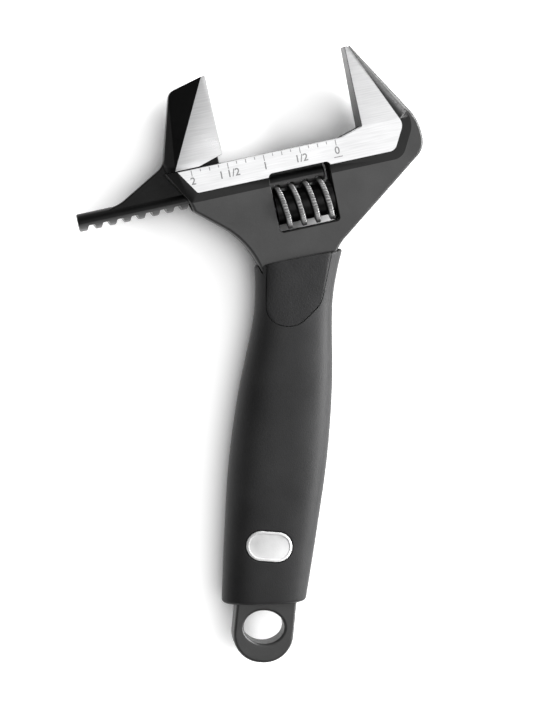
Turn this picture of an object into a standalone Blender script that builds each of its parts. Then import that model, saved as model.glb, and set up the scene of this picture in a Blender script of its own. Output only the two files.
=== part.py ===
"""Adjustable wrench with an extra-wide opening, about 8 inches long, lying flat and fully open.

Axes: +X is the way the sliding jaw closes, +Y the way both jaws point, +Z up through the thickness.
Outlines are written in millimetres in the head's own plane, whose zero is at the foot of the fixed
jaw, and the grip's in the handle's plane, whose zero is the hang hole. Everything is built in
metres. The finished wrench is moved so that the middle of its box's base is at zero.
"""
import bpy
import bmesh
import math
from mathutils import Matrix, Vector

MM = 0.001
GAP = 0.3                      # clearance between neighbouring pieces

# Driving dimensions, in millimetres
FIXED_FACE = -0.7              # the fixed jaw's gripping face
OPENING = 49.9                 # from zero to the sliding jaw's gripping face, fully open
PITCH = 5.0                    # of the worm and the rack
HANDLE_TILT = math.radians(17.8)
HANG_HOLE = (-68.9, -164.5)    # hang hole's centre, in the head's plane
SLAB_HALF = 5.0                # half thickness of the forged head
TANG_HALF = 4.3                # half thickness of the tang and the hang loop
LAND_HALF = 6.6                # half thickness of the ground lands
TIP_TAPER = 0.65               # thickness of the jaws' tips as a share of their roots'
JAW_TOP = 28.2
FLOOR = -1.9                   # mouth floor, where the sliding jaw's foot runs
EDGE = 0.9                     # chamfer round the forging
RACK_RADIUS = 3.1
RACK_Y = -11.9
RACK_X = (-102.9, -16.0)
TOOTH_DEPTH = 1.7
FIRST_NOTCH = -98.7
NOTCH_COUNT = 17
WEB_HALF = 2.3                 # half thickness of the web between the jaw and its rack
WORM_Y = -21.5
WORM_RADIUS = 7.7
WORM_CORE = 5.7
WORM_X = (-35.2, -14.8)
WINDOW_X = (-35.6, -14.4)
WINDOW_Y = (-29.7, -9.3)
PIN_RADIUS = 1.9
SPRING_RADIUS = 2.85
SPRING_WIRE = 0.3
SPRING_TURNS = 5
COUNTERBORE = 6.0              # depth of the spring's counterbore in the worm
COVER = 1.9                    # thickness of the grip's soft cover
BADGE = (-3.0, 30.0)           # badge's centre, in the handle's plane
BADGE_SIZE = (16.0, 10.5)


# ---------------------------------------------------------------- outlines

def rounded(corners, steps=6):
    """Outline through corners (x, y, radius), each rounded with an arc of that radius."""
    points = []
    for i, (x, y, radius) in enumerate(corners):
        corner = Vector((x, y))
        before = (Vector(corners[i - 1][:2]) - corner).normalized()
        after = (Vector(corners[(i + 1) % len(corners)][:2]) - corner).normalized()
        if radius == 0:
            points.append(corner)
            continue
        half = before.angle(after) / 2
        centre = corner + (before + after).normalized() * radius / math.sin(half)
        start = corner + before * radius / math.tan(half) - centre
        turn = start.angle_signed(corner + after * radius / math.tan(half) - centre)
        for k in range(steps + 1):
            points.append(centre + Matrix.Rotation(-turn * k / steps, 2) @ start)
    return points


def inset(points, distance):
    """The outline moved inwards by a distance (outwards if negative); it runs anticlockwise."""
    moved = []
    for i, point in enumerate(points):
        a = (point - points[i - 1]).normalized()
        b = (points[(i + 1) % len(points)] - point).normalized()
        normal_a = Vector((-a.y, a.x))
        normal_b = Vector((-b.y, b.x))
        moved.append(point + (normal_a + normal_b) * distance / (1 + normal_a.dot(normal_b)))
    return moved


def handle_to_head(x, y):
    """A point of the handle's plane in the head's plane."""
    c, s = math.cos(HANDLE_TILT), math.sin(HANDLE_TILT)
    return HANG_HOLE[0] + x * c + y * s, HANG_HOLE[1] - x * s + y * c


def capsule(centre, length, width, steps=8):
    """A lying stadium outline."""
    x, y, r = length / 2, width / 2, width / 2
    corners = [(-x, -y, r), (x, -y, r), (x, y, r), (-x, y, r)]
    return [point + Vector(centre) for point in rounded(corners, steps)]


# ---------------------------------------------------------------- solids

def new_object(name, bm):
    """An object in the scene from a bmesh in millimetres, with its faces pointing out."""
    bmesh.ops.remove_doubles(bm, verts=bm.verts, dist=1e-5)
    bmesh.ops.recalc_face_normals(bm, faces=bm.faces)
    bmesh.ops.scale(bm, vec=(MM, MM, MM), verts=bm.verts)
    mesh = bpy.data.meshes.new(name)
    bm.to_mesh(mesh)
    bm.free()
    obj = bpy.data.objects.new(name, mesh)
    bpy.context.scene.collection.objects.link(obj)
    return obj


def loft(name, rings):
    """A closed solid through rings of equally many 3-D points, capped at both ends."""
    bm = bmesh.new()
    layers = [[bm.verts.new(point) for point in ring] for ring in rings]
    bm.faces.new(layers[0])
    bm.faces.new(reversed(layers[-1]))
    for lower, upper in zip(layers, layers[1:]):
        for i in range(len(lower)):
            j = (i + 1) % len(lower)
            bm.faces.new((lower[i], lower[j], upper[j], upper[i]))
    return new_object(name, bm)


def flat_rings(outlines_and_heights):
    """Rings for loft from flat outlines, each at its height."""
    return [[(p.x, p.y, z) for p in outline] for outline, z in outlines_and_heights]


def prism(name, outline, half):
    """An outline extruded to both sides of the middle plane."""
    return loft(name, flat_rings([(outline, -half), (outline, half)]))


def plate(name, outline, half, edge):
    """A prism whose long edges are chamfered."""
    smaller = inset(outline, edge)
    steps = [(smaller, -half), (outline, edge - half), (outline, half - edge), (smaller, half)]
    return loft(name, flat_rings(steps))


def turned(name, stations, y, sides=32):
    """A round solid along X at a height y, through stations (x, radius)."""
    rings = []
    for x, radius in stations:
        angles = [2 * math.pi * k / sides for k in range(sides)]
        rings.append([(x, y + radius * math.cos(a), radius * math.sin(a)) for a in angles])
    return loft(name, rings)


def hull(name, points):
    """The convex solid round some points."""
    bm = bmesh.new()
    for point in points:
        bm.verts.new(point)
    made = bmesh.ops.convex_hull(bm, input=bm.verts)
    loose = [item for item in made["geom_interior"] if isinstance(item, bmesh.types.BMVert)]
    bmesh.ops.delete(bm, geom=loose, context="VERTS")
    bmesh.ops.dissolve_limit(bm, angle_limit=0.002, verts=bm.verts, edges=bm.edges)
    return new_object(name, bm)


def combine(target, tool, operation):
    """Cut, join or intersect the target with a tool, which is used up."""
    modifier = target.modifiers.new(operation, "BOOLEAN")
    modifier.operation = operation
    modifier.object = tool
    modifier.solver = "EXACT"
    graph = bpy.context.evaluated_depsgraph_get()
    mesh = bpy.data.meshes.new_from_object(target.evaluated_get(graph), depsgraph=graph)
    target.modifiers.clear()
    target.data = mesh
    bpy.data.objects.remove(tool)


def taper_jaw(obj):
    """Thin a jaw evenly from its root, at the foot of the gripping face, to its tip."""
    root, tip = 0.5 * MM, JAW_TOP * MM
    bm = bmesh.new()
    bm.from_mesh(obj.data)
    everything = bm.verts[:] + bm.edges[:] + bm.faces[:]
    bmesh.ops.bisect_plane(bm, geom=everything, plane_co=(0, root, 0), plane_no=(0, 1, 0))
    for vert in bm.verts:
        share = max(0.0, (vert.co.y - root) / (tip - root))
        vert.co.z *= 1 - (1 - TIP_TAPER) * share
    bm.to_mesh(obj.data)
    bm.free()


# ---------------------------------------------------------------- forged body

def body_outline():
    """The forging's outline, anticlockwise; it overshoots the mouth, which is cut afterwards."""
    left_of_loop, right_of_loop, loop_bottom = -11.9, 9.5, -12.2
    return rounded([
        (0.8, JAW_TOP + 1, 0),
        (-2.0, JAW_TOP + 1, 0),
        (-2.0, 1.3, 0),
        (-9.0, FLOOR + 1, 0),
        (-71.4, FLOOR + 1, 0),
        (-64.6, -11.6, 1.5),
        (-63.3, -16.4, 1.5),
        (-40.0, -36.4, 29.0),
        (*handle_to_head(left_of_loop, loop_bottom), 10.2),
        (*handle_to_head(right_of_loop, loop_bottom), 10.2),
        (*handle_to_head(8.4, 112.0), 10.0),
        (-17.0, -38.4, 14.0),
        (19.9, -11.5, 7.0),
        (19.9, -1.8, 18.0),
    ], steps=8)


def mouth_cutter():
    """Everything between and above the jaws."""
    outline = rounded([
        (FIXED_FACE, 0.3, 0.6),
        (FIXED_FACE, JAW_TOP, 0),
        (9, JAW_TOP, 0),
        (9, JAW_TOP + 8, 0),
        (-90, JAW_TOP + 8, 0),
        (-90, FLOOR, 0),
        (-8.5, FLOOR, 0),
    ], steps=4)
    return prism("mouth", outline, 12)


def land_frustum():
    """The raised land, ground bright on top, whose sides slope down to the forging."""
    top = rounded([
        (0.1, JAW_TOP + 1, 0),
        (-2.0, JAW_TOP + 1, 0),
        (-2.0, 1.3, 0),
        (-9.0, FLOOR + 1, 0),
        (-66.9, FLOOR + 1, 0),
        (-60.9, -10.2, 1.0),
        (9.0, -10.2, 3.0),
        (13.6, -1.8, 4.0),
    ])
    base = rounded([
        (0.2, JAW_TOP + 1, 0),
        (-2.0, JAW_TOP + 1, 0),
        (-2.0, 1.3, 0),
        (-9.0, FLOOR + 1, 0),
        (-70.6, FLOOR + 1, 0),
        (-63.4, -13.5, 1.5),
        (11.6, -13.5, 5.0),
        (18.2, -1.4, 8.0),
    ])
    low = SLAB_HALF - 0.1
    return loft("land", flat_rings([
        (top, -LAND_HALF), (base, -low), (base, low), (top, LAND_HALF)]))


def window_cutter():
    """The worm's window, with a small flare at both faces."""
    (x0, x1), (y0, y1) = WINDOW_X, WINDOW_Y
    outline = rounded([(x0, y0, 1.2), (x1, y0, 1.2), (x1, y1, 1.2), (x0, y1, 1.2)])
    wide = inset(outline, -0.3)
    straight = SLAB_HALF - 0.3
    return loft("window", flat_rings([
        (wide, -9), (wide, -SLAB_HALF), (outline, -straight),
        (outline, straight), (wide, SLAB_HALF), (wide, 9)]))


def channel_cutters():
    """The rack's through bore and the slot that its web slides in."""
    bore = turned("bore", [(-80, RACK_RADIUS + GAP), (40, RACK_RADIUS + GAP)], RACK_Y)
    half = WEB_HALF + GAP
    slot = prism("slot", [Vector(p) for p in ((-80, RACK_Y), (-0.8, RACK_Y), (-0.8, 4), (-80, 4))],
                 half)
    return bore, slot


def pin_cutter():
    """The worm pin's bore: blind on the left, with a seat for the head on the right flank."""
    radius = PIN_RADIUS + GAP
    return turned("pin_bore", [(-42.0, radius), (-1.5, radius), (-1.5, 3.5), (20.0, 3.5)], WORM_Y, 24)


def hang_hole_cutter():
    """The oval hang hole, flared at both faces."""
    oval = [Vector((7.2 * math.cos(a) - 1.3, 5.9 * math.sin(a) + 0.5))
            for a in (2 * math.pi * k / 40 for k in range(40))]
    wide = inset(oval, -1.0)
    levels = [(wide, -9), (wide, -TANG_HALF), (oval, 1.0 - TANG_HALF),
              (oval, TANG_HALF - 1.0), (wide, TANG_HALF), (wide, 9)]
    rings = []
    for outline, z in levels:
        rings.append([(*handle_to_head(p.x, p.y), z) for p in outline])
    return loft("hang_hole", rings)


def thin_tang(obj):
    """Bring everything inside and below the grip down to the tang's thickness, in one short ramp."""
    along = Vector((math.sin(HANDLE_TILT), math.cos(HANDLE_TILT), 0))
    origin = Vector((*HANG_HOLE, 0)) * MM
    start, end = 124.0 * MM, 119.0 * MM
    bm = bmesh.new()
    bm.from_mesh(obj.data)
    for height in (start, end):
        everything = bm.verts[:] + bm.edges[:] + bm.faces[:]
        bmesh.ops.bisect_plane(bm, geom=everything, plane_co=origin + along * height, plane_no=along)
    for vert in bm.verts:
        height = (vert.co - origin).dot(along)
        share = min(1.0, max(0.0, (start - height) / (start - end)))
        vert.co.z *= 1 + (TANG_HALF / SLAB_HALF - 1) * share
    bm.to_mesh(obj.data)
    bm.free()


def make_body():
    body = plate("body", body_outline(), SLAB_HALF, EDGE)
    thin_tang(body)
    combine(body, land_frustum(), "UNION")
    combine(body, mouth_cutter(), "DIFFERENCE")
    taper_jaw(body)
    bore, slot = channel_cutters()
    combine(body, bore, "DIFFERENCE")
    combine(body, slot, "DIFFERENCE")
    combine(body, window_cutter(), "DIFFERENCE")
    combine(body, pin_cutter(), "DIFFERENCE")
    combine(body, hang_hole_cutter(), "DIFFERENCE")
    return body


# ---------------------------------------------------------------- sliding jaw

def jaw_plate():
    """The gripping jaw: a ground land on each face and a long slope down to its black back."""
    face = -OPENING
    foot = FLOOR + GAP
    ground = [(face, JAW_TOP), (face - 1.4, JAW_TOP), (-66.9, foot), (face - 8.7, foot), (face, 1.0)]
    back = rounded([
        (face, JAW_TOP, 0),
        (face - 1.4, JAW_TOP, 1.0),
        (-63.1, 25.2, 3.5),
        (-70.1, 1.5, 3.0),
        (-69.9, foot, 0),
        (face - 8.7, foot, 0),
        (face, 1.0, 0),
    ], steps=5)
    points = []
    for side in (-1, 1):
        points += [(x, y, side * LAND_HALF) for x, y in ground]
        points += [(p.x, p.y, side * 3.2) for p in back]
    return hull("movable_jaw", points)


def jaw_web():
    """The web down to the rack, with the gusset behind the jaw."""
    outline = rounded([
        (-51.2, RACK_Y, 0),
        (-51.2, 2.5, 0),
        (-68.6, 6.0, 0),
        (-70.5, 0.9, 6.0),
        (-86.8, -8.1, 10.0),
        (-92.2, -9.6, 0),
        (-92.2, RACK_Y, 0),
    ], steps=5)
    return prism("web", outline, WEB_HALF)


def rack_notches():
    """Prisms that cut the notches between the rack's teeth, along the worm's helix."""
    bm = bmesh.new()
    tip = RACK_Y - RACK_RADIUS
    root = tip + TOOTH_DEPTH
    lean = PITCH / (2 * math.pi * 7.1)
    reach = 5.0
    profile = [(-1.7, tip - 1.5), (1.7, tip - 1.5), (1.05, root), (-1.05, root)]
    for k in range(NOTCH_COUNT):
        middle = FIRST_NOTCH + k * PITCH
        ends = []
        for z in (-reach, reach):
            ends.append([bm.verts.new((middle + x + lean * z, y, z)) for x, y in profile])
        bm.faces.new(ends[0])
        bm.faces.new(reversed(ends[1]))
        for i in range(4):
            j = (i + 1) % 4
            bm.faces.new((ends[0][i], ends[0][j], ends[1][j], ends[1][i]))
    return new_object("notches", bm)


def make_jaw():
    jaw = jaw_plate()
    x0, x1 = RACK_X
    r = RACK_RADIUS
    rack = turned("rack", [(x0, r - 0.6), (x0 + 0.6, r), (x1 - 0.6, r), (x1, r - 0.6)], RACK_Y)
    combine(rack, rack_notches(), "DIFFERENCE")
    combine(jaw, jaw_web(), "UNION")
    combine(jaw, rack, "UNION")
    taper_jaw(jaw)
    return jaw


# ---------------------------------------------------------------- worm, pin and spring

def make_worm():
    """The screw: a right-hand trapezoid thread on a core, drilled for its pin and spring."""
    sides, turns = 32, 8
    ridge_tip, ridge_foot = 1.4, 2.5
    first = FIRST_NOTCH + 11 * PITCH           # a ridge that starts left of the worm's end
    profile = [(-ridge_foot / 2, WORM_CORE), (-ridge_tip / 2, WORM_RADIUS),
               (ridge_tip / 2, WORM_RADIUS), (ridge_foot / 2, WORM_CORE)]
    bm = bmesh.new()
    rows = []
    for turn in range(turns):
        for x, radius in profile:
            row = []
            for k in range(sides):
                a = 2 * math.pi * k / sides
                at = first + x + PITCH * (turn + k / sides)
                row.append(bm.verts.new((at, WORM_Y + radius * math.cos(a), radius * math.sin(a))))
            rows.append(row)
    step = len(profile)
    for i in range(len(rows) - 1):
        for k in range(sides - 1):
            bm.faces.new((rows[i][k], rows[i][k + 1], rows[i + 1][k + 1], rows[i + 1][k]))
        if i + step + 1 < len(rows):
            bm.faces.new((rows[i][-1], rows[i + step][0], rows[i + step + 1][0], rows[i + 1][-1]))
    for x, normal in ((WORM_X[0], -1), (WORM_X[1], 1)):
        everything = bm.verts[:] + bm.edges[:] + bm.faces[:]
        cut = bmesh.ops.bisect_plane(bm, geom=everything, plane_co=(x, 0, 0),
                                     plane_no=(normal, 0, 0), clear_outer=True)
        rim = [item for item in cut["geom_cut"] if isinstance(item, bmesh.types.BMEdge)]
        bmesh.ops.edgenet_fill(bm, edges=rim)
    worm = new_object("worm", bm)
    x0, x1 = WORM_X
    radius = PIN_RADIUS + GAP
    wide = SPRING_RADIUS + SPRING_WIRE + 0.4
    drill = [(x0 - 2, wide), (x0 + COUNTERBORE, wide), (x0 + COUNTERBORE, radius), (x1 + 2, radius)]
    combine(worm, turned("drill", drill, WORM_Y, 24), "DIFFERENCE")
    return worm


def make_pin():
    """The worm's pin, with a slotted head in the right flank."""
    r = PIN_RADIUS
    pin = turned("worm_pin", [(-41.6, r - 0.5), (-41.1, r), (-1.2, r), (-1.2, 3.1), (1.4, 3.1),
                              (1.8, 2.7)], WORM_Y, 24)
    x0, x1, half = 0.8, 3.0, 0.45
    slot = [Vector(p) for p in ((x0, WORM_Y - 4), (x1, WORM_Y - 4), (x1, WORM_Y + 4), (x0, WORM_Y + 4))]
    combine(pin, prism("driver_slot", slot, half), "DIFFERENCE")
    return pin


def make_spring():
    """A round-wire compression spring in the worm's counterbore."""
    wire_sides, per_turn = 6, 14
    x0 = WINDOW_X[0] + 0.2 + SPRING_WIRE
    x1 = WORM_X[0] + COUNTERBORE - GAP - SPRING_WIRE
    count = per_turn * SPRING_TURNS
    slope = (x1 - x0) / (2 * math.pi * SPRING_TURNS)
    rings = []
    for k in range(count + 1):
        a = 2 * math.pi * k / per_turn
        outwards = Vector((0, math.cos(a), math.sin(a)))
        along = Vector((slope, -SPRING_RADIUS * math.sin(a), SPRING_RADIUS * math.cos(a))).normalized()
        across = along.cross(outwards)
        centre = Vector((x0 + (x1 - x0) * k / count, WORM_Y, 0)) + outwards * SPRING_RADIUS
        turns = [2 * math.pi * j / wire_sides for j in range(wire_sides)]
        rings.append([centre + (outwards * math.cos(b) + across * math.sin(b)) * SPRING_WIRE
                      for b in turns])
    return loft("worm_spring", rings)


# ---------------------------------------------------------------- grip

# (distance from the hang hole, half width, half thickness) along the handle
GRIP_STATIONS = ((8.0, 14.7, 8.0), (35.0, 16.2, 9.2), (60.0, 17.1, 9.8), (85.0, 16.2, 9.3),
                 (112.0, 13.5, 7.8), (124.0, 14.0, 8.0), (134.0, 15.6, 8.4))
GRIP_MIDDLE = -1.9             # the grip's middle line, beside the hang hole's
GRIP_ENDS = ((9.2, 0.11), (130.9, 0.30))    # height of each end on the middle line, and its slope


def along_grip(y, column):
    """Half width (column 1) or half thickness (column 2) of the grip at a height, smoothly."""
    stations = GRIP_STATIONS
    y = min(max(y, stations[0][0]), stations[-1][0])
    i = max(k for k in range(len(stations) - 1) if stations[k][0] <= y)
    slopes = []
    for k in (i, i + 1):
        a, b = stations[max(k - 1, 0)], stations[min(k + 1, len(stations) - 1)]
        slopes.append((b[column] - a[column]) / (b[0] - a[0]))
    span = stations[i + 1][0] - stations[i][0]
    t = (y - stations[i][0]) / span
    return ((2 * t ** 3 - 3 * t ** 2 + 1) * stations[i][column]
            + (t ** 3 - 2 * t ** 2 + t) * span * slopes[0]
            + (3 * t ** 2 - 2 * t ** 3) * stations[i + 1][column]
            + (t ** 3 - t ** 2) * span * slopes[1])


def grip_section(y, slope, shrink, sides=40, power=2.5):
    """One closed section of the grip, a superellipse, on a plane tipped by a slope."""
    width = along_grip(y, 1) - shrink
    depth = along_grip(y, 2) - shrink
    ring = []
    for k in range(sides):
        a = 2 * math.pi * k / sides
        c, s = math.cos(a), math.sin(a)
        x = width * math.copysign(abs(c) ** (2 / power), c)
        z = depth * math.copysign(abs(s) ** (2 / power), s)
        ring.append((GRIP_MIDDLE + x, y + slope * x, z))
    return ring


def grip_solid(name, shrink, overrun=0.0, edge=1.0, rows=17):
    """The whole grip's volume, made smaller by shrink all round, with rounded ends."""
    (y0, slope0), (y1, slope1) = GRIP_ENDS
    y0 -= overrun
    y1 += overrun
    stations = [(y0, edge), (y0 + 0.3 * edge, 0.3 * edge), (y0 + edge, 0)]
    stations += [(y0 + (y1 - y0) * k / rows, 0) for k in range(1, rows)]
    stations += [(y1 - edge, 0), (y1 - 0.3 * edge, 0.3 * edge), (y1, edge)]
    rings = []
    for y, extra in stations:
        share = (y - y0) / (y1 - y0)
        rings.append(grip_section(y, slope0 + (slope1 - slope0) * share, shrink + extra))
    return loft(name, rings)


def thumb_rest(name, larger, low, high):
    """A tongue-shaped prism over the thumb rest, from a height to another."""
    outline = rounded([
        (GRIP_MIDDLE - 9.6, 107.0, 6.4),
        (GRIP_MIDDLE + 0.9, 107.0, 8.0),
        (GRIP_MIDDLE + 8.7, 116.0, 9.0),
        (GRIP_MIDDLE + 11.0, 139.5, 0),
        (GRIP_MIDDLE - 12.3, 139.5, 0),
    ], steps=6)
    outline = inset(outline, -larger)
    return loft(name, flat_rings([(outline, low), (outline, high)]))


def tang_space(name):
    """The body's neck and tang with clearance, in the handle's plane."""
    space = plate(name, inset(body_outline(), -GAP), SLAB_HALF + GAP, EDGE)
    thin_tang(space)
    space.data.transform(Matrix.Translation((-HANG_HOLE[0] * MM, -HANG_HOLE[1] * MM, 0)))
    space.data.transform(Matrix.Rotation(HANDLE_TILT, 4, "Z"))
    return space


def make_grip_core():
    core = grip_solid("grip_core", COVER + GAP)
    for low, high in ((0, 12), (-12, 0)):
        pad = grip_solid("pad", 0.25)
        combine(pad, thumb_rest("rest", 0, low, high), "INTERSECT")
        combine(core, pad, "UNION")
    combine(core, tang_space("tang_space"), "DIFFERENCE")
    return core


def badge_solid(name, side, larger, proud, depth):
    """A capsule that follows the grip's face, from below the surface to a height above it."""
    length, width = BADGE_SIZE
    outline = capsule((0, 0), length + 2 * larger, width + 2 * larger)
    rings = []
    for scale in (1.0, 0.6, 0.2):
        rings.append([Vector(BADGE) + p * scale for p in outline])

    def surface(point, lift):
        width_here = along_grip(point.y, 1)
        depth_here = along_grip(point.y, 2)
        share = abs((point.x - GRIP_MIDDLE) / width_here) ** 2.5
        return side * (depth_here * (1 - share) ** (1 / 2.5) + lift)

    levels = [(ring, -depth) for ring in reversed(rings)] + [(ring, proud) for ring in rings]
    return loft(name, [[(p.x, p.y, surface(p, lift)) for p in ring] for ring, lift in levels])


def make_grip_cover():
    cover = grip_solid("grip_cover", 0)
    combine(cover, grip_solid("core_space", COVER, overrun=3.0), "DIFFERENCE")
    combine(cover, tang_space("tang_space"), "DIFFERENCE")
    combine(cover, thumb_rest("rest_above", GAP, 2, 14), "DIFFERENCE")
    combine(cover, thumb_rest("rest_below", GAP, -14, -2), "DIFFERENCE")
    for side in (1, -1):
        combine(cover, badge_solid("pocket", side, GAP, 3.0, 1.1), "DIFFERENCE")
    return cover


# ---------------------------------------------------------------- assembly

MATERIALS = {                  # name: (colour, roughness, metallic)
    "black_forging": ((0.085, 0.085, 0.09), 0.45, 0.8),
    "ground_steel": ((0.62, 0.62, 0.63), 0.3, 1.0),
    "black_steel": ((0.03, 0.03, 0.032), 0.35, 0.8),
    "spring_steel": ((0.35, 0.35, 0.36), 0.3, 1.0),
    "hard_plastic": ((0.03, 0.03, 0.032), 0.5, 0.0),
    "soft_cover": ((0.035, 0.035, 0.037), 0.6, 0.0),
    "pale_plastic": ((0.8, 0.8, 0.8), 0.4, 0.0),
}


def paint(obj, name):
    """Give an object its material and smooth its round faces."""
    colour, roughness, metallic = MATERIALS[name]
    material = bpy.data.materials.get(name) or bpy.data.materials.new(name)
    material.use_nodes = True
    shader = material.node_tree.nodes["Principled BSDF"]
    shader.inputs["Base Color"].default_value = (*colour, 1)
    shader.inputs["Roughness"].default_value = roughness
    shader.inputs["Metallic"].default_value = metallic
    obj.data.materials.clear()
    obj.data.materials.append(material)
    obj.data.shade_smooth()
    obj.data.set_sharp_from_angle(angle=math.radians(30))


def new_empty(name, x, y, parent):
    """An empty at a point of its parent's plane."""
    empty = bpy.data.objects.new(name, None)
    bpy.context.scene.collection.objects.link(empty)
    empty.location = (x * MM, y * MM, 0)
    empty.parent = parent
    return empty


def hang_on(obj, empty):
    """Parent an object to an empty and count its mesh from the empty's place."""
    obj.parent = empty
    obj.data.transform(Matrix.Translation(-empty.location))


def move_base_to_zero(root):
    """Move the root so that the middle of the wrench's base is at the world's origin."""
    bpy.context.view_layer.update()
    corners = []
    for obj in bpy.context.scene.objects:
        if obj.type == "MESH":
            corners += [obj.matrix_world @ vert.co for vert in obj.data.vertices]
    low = [min(c[i] for c in corners) for i in range(3)]
    high = [max(c[i] for c in corners) for i in range(3)]
    root.location = (-(low[0] + high[0]) / 2, -(low[1] + high[1]) / 2, -low[2])


def main():
    for obj in list(bpy.data.objects):
        bpy.data.objects.remove(obj)
    root = new_empty("wrench", 0, 0, None)
    handle = new_empty("handle_line", *HANG_HOLE, root)
    handle.rotation_euler.z = -HANDLE_TILT
    slide = new_empty("rack_line", -OPENING, RACK_Y, root)
    screw = new_empty("worm_line", sum(WORM_X) / 2, WORM_Y, root)

    body = make_body()
    body.parent = root
    paint(body, "black_forging")
    for maker, empty, finish in ((make_jaw, slide, "ground_steel"), (make_worm, screw, "black_steel"),
                                 (make_pin, screw, "spring_steel"), (make_spring, screw, "spring_steel")):
        piece = maker()
        hang_on(piece, empty)
        paint(piece, finish)
    pieces = [(make_grip_core(), "hard_plastic"), (make_grip_cover(), "soft_cover")]
    for name, side in (("badge_front", 1), ("badge_back", -1)):
        pieces.append((badge_solid(name, side, 0, 0.1, 0.8), "pale_plastic"))
    for piece, finish in pieces:
        piece.parent = handle
        paint(piece, finish)
    move_base_to_zero(root)


main()
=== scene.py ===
"""The looks of an adjustable wrench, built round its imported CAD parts.

Outlines are in millimetres in the head's own plane, whose zero is at the foot of the fixed jaw,
and the grip's in the handle's plane, whose zero is the hang hole.
"""
import math

import bmesh
import bpy
from mathutils import Matrix, Vector


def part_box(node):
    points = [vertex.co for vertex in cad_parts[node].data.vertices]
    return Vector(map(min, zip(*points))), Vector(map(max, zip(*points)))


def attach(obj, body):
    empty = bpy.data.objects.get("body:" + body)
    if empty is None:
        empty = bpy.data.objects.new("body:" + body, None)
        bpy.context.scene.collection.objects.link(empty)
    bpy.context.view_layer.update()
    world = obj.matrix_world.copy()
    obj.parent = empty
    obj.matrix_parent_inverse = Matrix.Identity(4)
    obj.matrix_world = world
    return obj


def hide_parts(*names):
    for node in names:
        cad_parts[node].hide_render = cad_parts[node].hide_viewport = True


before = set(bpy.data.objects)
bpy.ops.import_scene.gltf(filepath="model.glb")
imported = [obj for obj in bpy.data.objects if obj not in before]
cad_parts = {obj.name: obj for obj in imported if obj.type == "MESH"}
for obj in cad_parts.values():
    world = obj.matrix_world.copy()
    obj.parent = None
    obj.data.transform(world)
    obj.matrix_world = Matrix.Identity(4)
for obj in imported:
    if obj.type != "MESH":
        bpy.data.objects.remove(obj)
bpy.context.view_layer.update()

MM = 0.001
INCH = 25.4
GAP = 0.3                      # clearance between neighbouring pieces
HANDLE_TILT = math.radians(17.8)
HANG_HOLE = (-68.9, -164.5)
SLAB_HALF = 5.0                # half thickness of the forging
TANG_HALF = 4.3                # the same inside and below the grip
LAND_HALF = 6.6                # the same at the ground lands
FIXED_FACE = -0.7              # the fixed jaw's gripping face
OPENING = 49.9                 # from zero to the sliding jaw's face
JAW_TOP = 28.2
JAW_ROOT = 0.5                 # height where both jaws start to thin
TIP_TAPER = 0.65               # a jaw's thickness at its tip, as a share of its root's
FLANK = 19.9                   # the body's right side
FLOOR = -1.9                   # the mouth's floor
RACK_RADIUS = 3.1
RACK_Y = -11.9
RACK_X = (-102.9, -16.0)
PITCH = 5.0                    # of the rack and of the worm's thread
TOOTH_DEPTH = 1.7
FIRST_NOTCH = -98.7
NOTCH_COUNT = 17
WEB_HALF = 2.3
WORM_Y = -21.5
WORM_RADIUS = 7.7
WORM_CORE = 5.7
MESH_RADIUS = 7.1              # of the worm, where its thread meets the teeth
WORM_X = (-35.2, -14.8)
WINDOW_X = (-35.6, -14.4)
WINDOW_Y = (-29.7, -9.3)
PIN_RADIUS = 1.9
PIN_HEAD_RADIUS = 3.1
SPRING_RADIUS = 2.85
SPRING_WIRE = 0.3
SPRING_TURNS = 5
COUNTERBORE = 6.0              # depth of the worm's hole for the spring
COVER = 1.9                    # thickness of the grip's soft cover
BADGE = (-3.0, 30.0)
BADGE_SIZE = (16.0, 10.5)

body_low, body_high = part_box("body")
HEAD = Matrix.Translation((body_high.x - FLANK * MM, body_high.y - JAW_TOP * MM,
                           (body_low.z + body_high.z) / 2)) @ Matrix.Scale(MM, 4)
HANDLE = HEAD @ Matrix.Translation((*HANG_HOLE, 0)) @ Matrix.Rotation(-HANDLE_TILT, 4, "Z")


# ---------------------------------------------------------------- outlines

def rounded(corners, steps=14):
    """Outline through corners (x, y, radius), each rounded with an arc of that radius."""
    points = []
    for i, (x, y, radius) in enumerate(corners):
        corner = Vector((x, y))
        before = (Vector(corners[i - 1][:2]) - corner).normalized()
        after = (Vector(corners[(i + 1) % len(corners)][:2]) - corner).normalized()
        if radius == 0:
            points.append(corner)
            continue
        half = before.angle(after) / 2
        centre = corner + (before + after).normalized() * radius / math.sin(half)
        start = corner + before * radius / math.tan(half) - centre
        turn = start.angle_signed(corner + after * radius / math.tan(half) - centre)
        for k in range(steps + 1):
            points.append(centre + Matrix.Rotation(-turn * k / steps, 2) @ start)
    return points


def inset(points, distance):
    """The outline moved inwards by a distance (outwards if negative); it runs anticlockwise."""
    moved = []
    for i, point in enumerate(points):
        a = (point - points[i - 1]).normalized()
        b = (points[(i + 1) % len(points)] - point).normalized()
        normal_a = Vector((-a.y, a.x))
        normal_b = Vector((-b.y, b.x))
        moved.append(point + (normal_a + normal_b) * distance / (1 + normal_a.dot(normal_b)))
    return moved


def handle_to_head(x, y):
    """A point of the handle's plane in the head's plane."""
    c, s = math.cos(HANDLE_TILT), math.sin(HANDLE_TILT)
    return HANG_HOLE[0] + x * c + y * s, HANG_HOLE[1] - x * s + y * c


def capsule(centre, length, width):
    """A lying stadium outline."""
    x, y, r = length / 2, width / 2, width / 2 - 0.01
    corners = [(-x, -y, r), (x, -y, r), (x, y, r), (-x, y, r)]
    return [point + Vector(centre) for point in rounded(corners)]


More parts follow.
